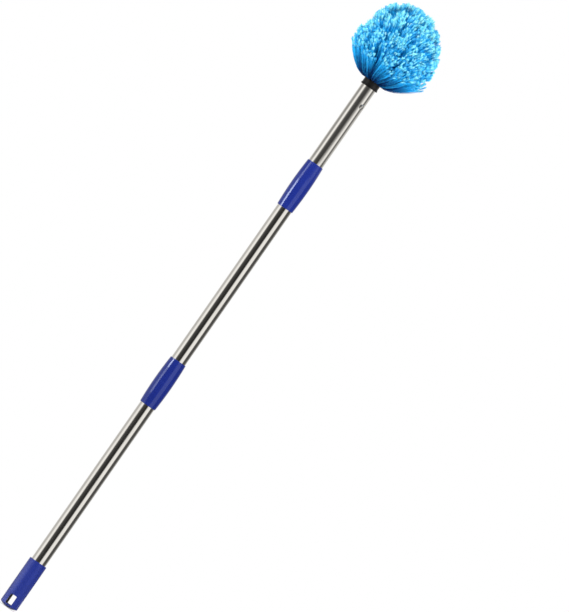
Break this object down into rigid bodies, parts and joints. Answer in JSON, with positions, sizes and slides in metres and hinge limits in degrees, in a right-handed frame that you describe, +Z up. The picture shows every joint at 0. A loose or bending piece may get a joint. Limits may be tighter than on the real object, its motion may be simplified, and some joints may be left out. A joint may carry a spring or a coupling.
{
  "type": "cobweb brush",
  "caption": "Cobweb brush: flared ball of soft flagged bristle tufts on a stainless pole of screw-together sections with barrel twist sleeves and a slotted hanging cap.",
  "frame": {"origin": "lowest point of the end cap's domed foot, on the pole's axis", "axes": "+Z up the pole towards the bristles; the hanging slot runs along Y"},
  "size_m": [0.1334, 0.1334, 1.1136],
  "materials": {
    "blue_plastic": "glossy moulded polypropylene, dark royal blue",
    "pole_steel": "polished stainless tube",
    "plug_plastic": "natural white moulded plugs, hidden in the pole",
    "black_plastic": "satin black moulding",
    "screw_steel": "bright zinc-plated steel",
    "anchor_wire": "drawn flat wire",
    "bristle": "flagged plastic filament, sky blue with pale feathered tips"
  },
  "bodies": {
    "lower_section": {"end_cap": "blue_plastic", "lower_tube": "pole_steel", "lower_thrust_plug": "plug_plastic"},
    "lower_coupling": {"lower_sleeve": "blue_plastic"},
    "middle_section": {"middle_screw_plug": "plug_plastic", "middle_tube": "pole_steel", "middle_thrust_plug": "plug_plastic"},
    "upper_coupling": {"upper_sleeve": "blue_plastic"},
    "head_section": {"head_screw_plug": "plug_plastic", "head_tube": "pole_steel", "brush_base": "black_plastic", "head_screw": "screw_steel", "tuft_anchors": "anchor_wire", "tuft_ring_0": "bristle", "tuft_ring_1": "bristle", "tuft_ring_2": "bristle", "tuft_ring_3": "bristle", "tuft_ring_4": "bristle", "tuft_ring_5": "bristle", "tuft_ring_6": "bristle"}
  },
  "joints": [
    {"name": "lower_sleeve_turn", "type": "hinge", "parent": "lower_section", "child": "lower_coupling", "pos_m": [0, 0, 0.4183], "axis": [0, 0, -1], "range_deg": [0, 2160]},
    {"name": "middle_section_draw", "type": "slide", "parent": "lower_section", "child": "middle_section", "axis": [0, 0, 1], "range_m": [0, 0.024]},
    {"name": "upper_sleeve_turn", "type": "hinge", "parent": "middle_section", "child": "upper_coupling", "pos_m": [0, 0, 0.7869], "axis": [0, 0, -1], "range_deg": [0, 2160]},
    {"name": "head_section_draw", "type": "slide", "parent": "middle_section", "child": "head_section", "axis": [0, 0, 1], "range_m": [0, 0.024]}
  ],
  "couplings": [
    {"joint": "lower_sleeve_turn", "follows": "middle_section_draw", "rad_per_m": 1570.8},
    {"joint": "upper_sleeve_turn", "follows": "head_section_draw", "rad_per_m": 1570.8}
  ]
}
